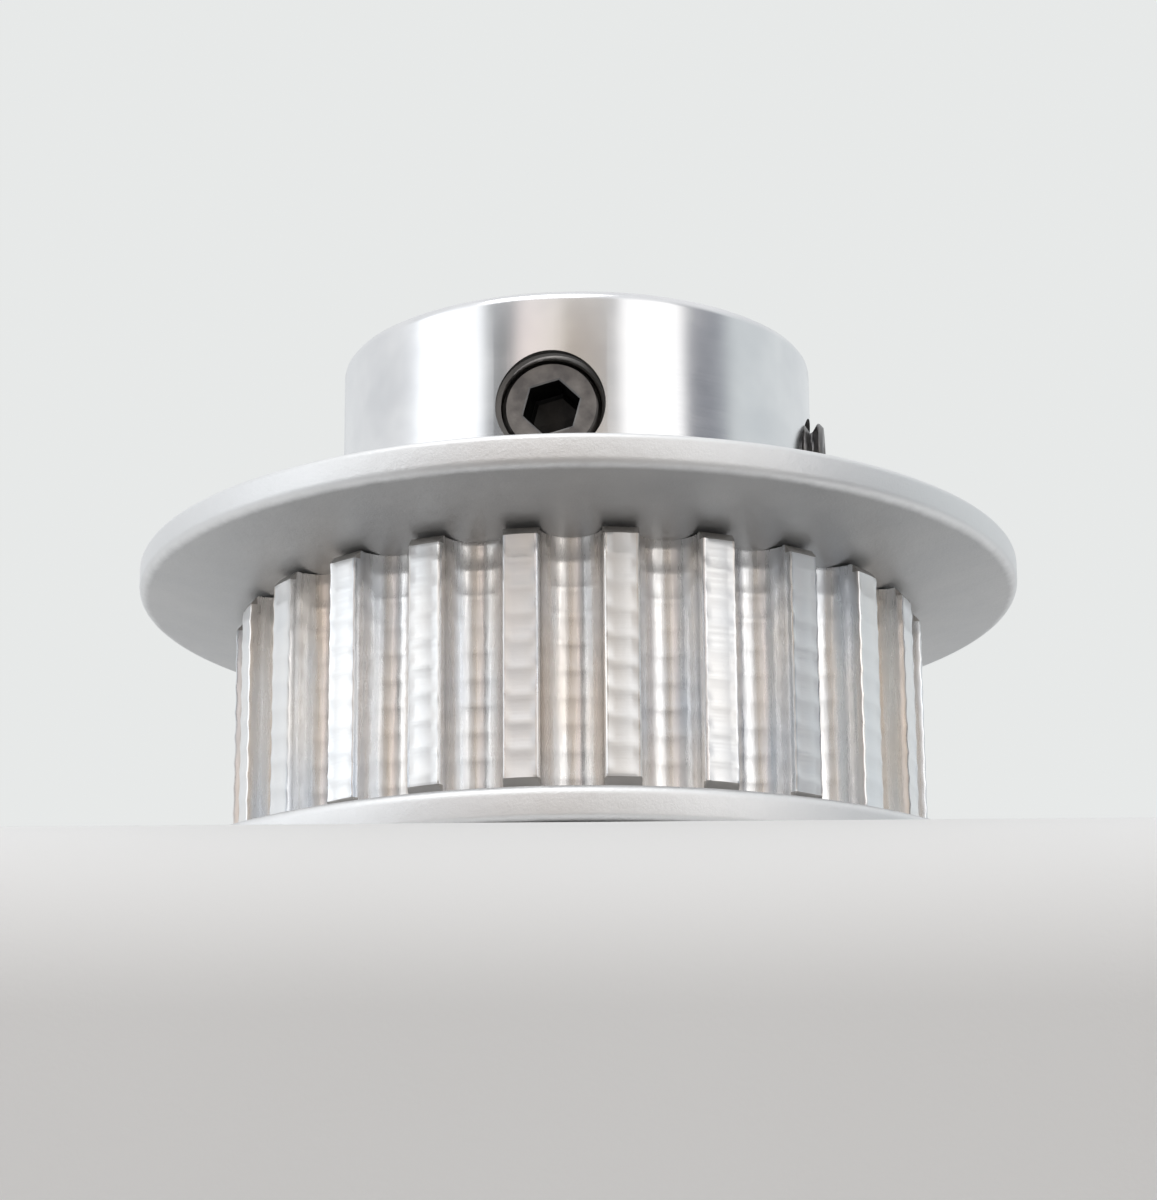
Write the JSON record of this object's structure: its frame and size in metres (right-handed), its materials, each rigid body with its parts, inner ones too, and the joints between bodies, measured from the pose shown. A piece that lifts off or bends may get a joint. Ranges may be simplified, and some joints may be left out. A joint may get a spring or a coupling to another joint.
{
  "type": "timing belt pulley",
  "caption": "Aluminium timing belt pulley with round-bottomed belt grooves between two dished flanges, and a turned hub clamped to its shaft by cup-point set screws.",
  "frame": {"origin": "centre of the shaft bore at the plain end face, the face away from the hub", "axes": "+Z along the shaft axis towards the hub; -Y through the front set screw; +X through the side set screw"},
  "size_m": [0.0272, 0.0272, 0.0179],
  "materials": {
    "turned_aluminium": "turned and cut, bright",
    "flange_aluminium": "tumbled satin",
    "black_steel": "black oxide"
  },
  "bodies": {
    "pulley": {"pulley_body": "turned_aluminium", "hub_flange": "flange_aluminium", "end_flange": "flange_aluminium"},
    "front_screw": {"front_set_screw": "black_steel"},
    "side_screw": {"side_set_screw": "black_steel"}
  },
  "joints": [
    {"name": "front_screw_travel", "type": "slide", "parent": "pulley", "child": "front_screw", "axis": [0, -1, 0], "range_m": [-0.00125, 0.0034]},
    {"name": "side_screw_travel", "type": "slide", "parent": "pulley", "child": "side_screw", "axis": [1, 0, 0], "range_m": [-0.0016, 0.0025]}
  ]
}
